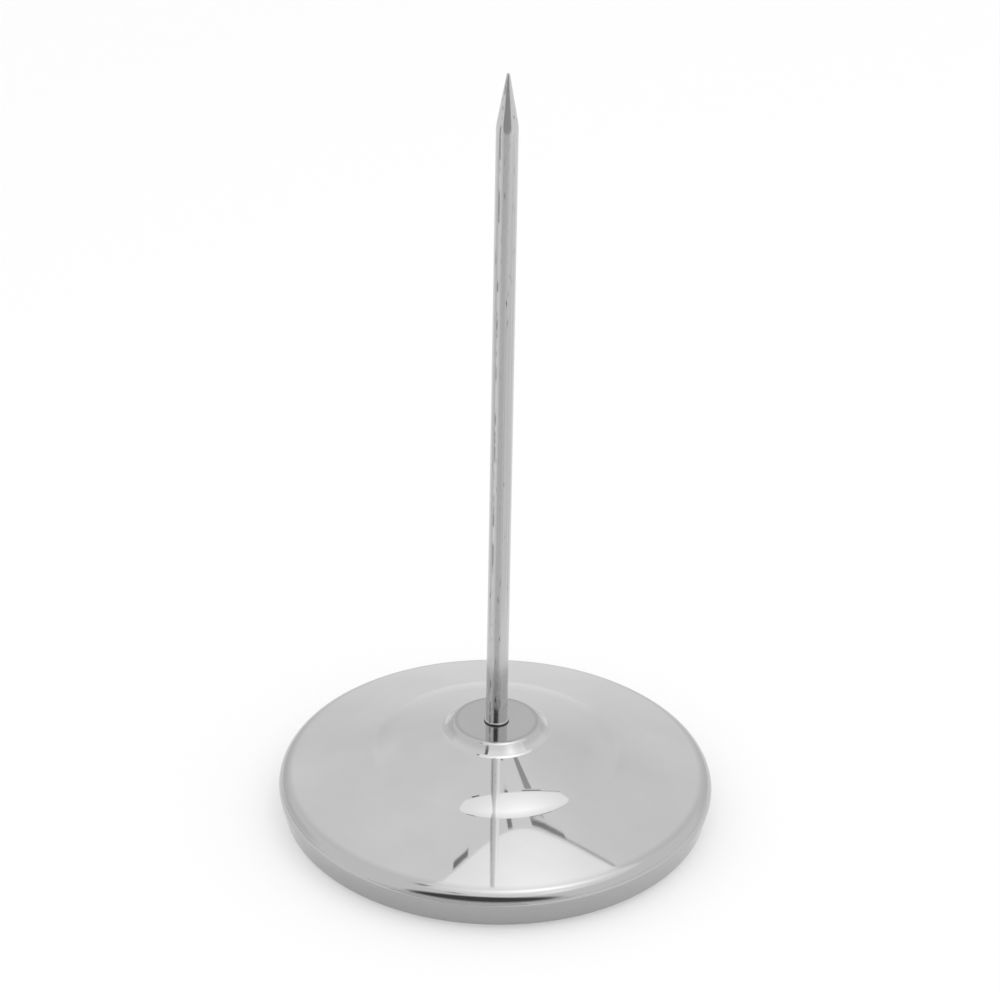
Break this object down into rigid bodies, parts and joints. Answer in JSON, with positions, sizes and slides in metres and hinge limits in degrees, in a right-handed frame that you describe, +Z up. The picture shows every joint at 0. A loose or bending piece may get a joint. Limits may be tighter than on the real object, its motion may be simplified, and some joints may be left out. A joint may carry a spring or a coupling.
{
  "type": "bill spike",
  "caption": "Upright pointed steel rod clamped to a round weighted base with a low polished sheet cover, for spiking paid bills, receipts and order slips.",
  "frame": {"origin": "centre of the base on the surface that it stands on, which is the underside of the rubber ring", "axes": "+Z up along the spike towards its point; +X through the split of the lock washer"},
  "size_m": [0.09, 0.09, 0.1724],
  "materials": {
    "polished_stainless": "mirror-polished stainless sheet",
    "drawn_stainless": "drawn stainless rod with fine lengthwise lines",
    "cast_iron": "as cast, dark primer",
    "zinc_plated": "bright zinc plate",
    "rubber": "moulded, matt"
  },
  "bodies": {
    "root": {"base_cover": "polished_stainless", "spike": "drawn_stainless", "counterweight": "cast_iron", "flat_washer": "zinc_plated", "lock_washer": "zinc_plated", "hex_nut": "zinc_plated", "foot_ring": "rubber"}
  },
  "joints": []
}
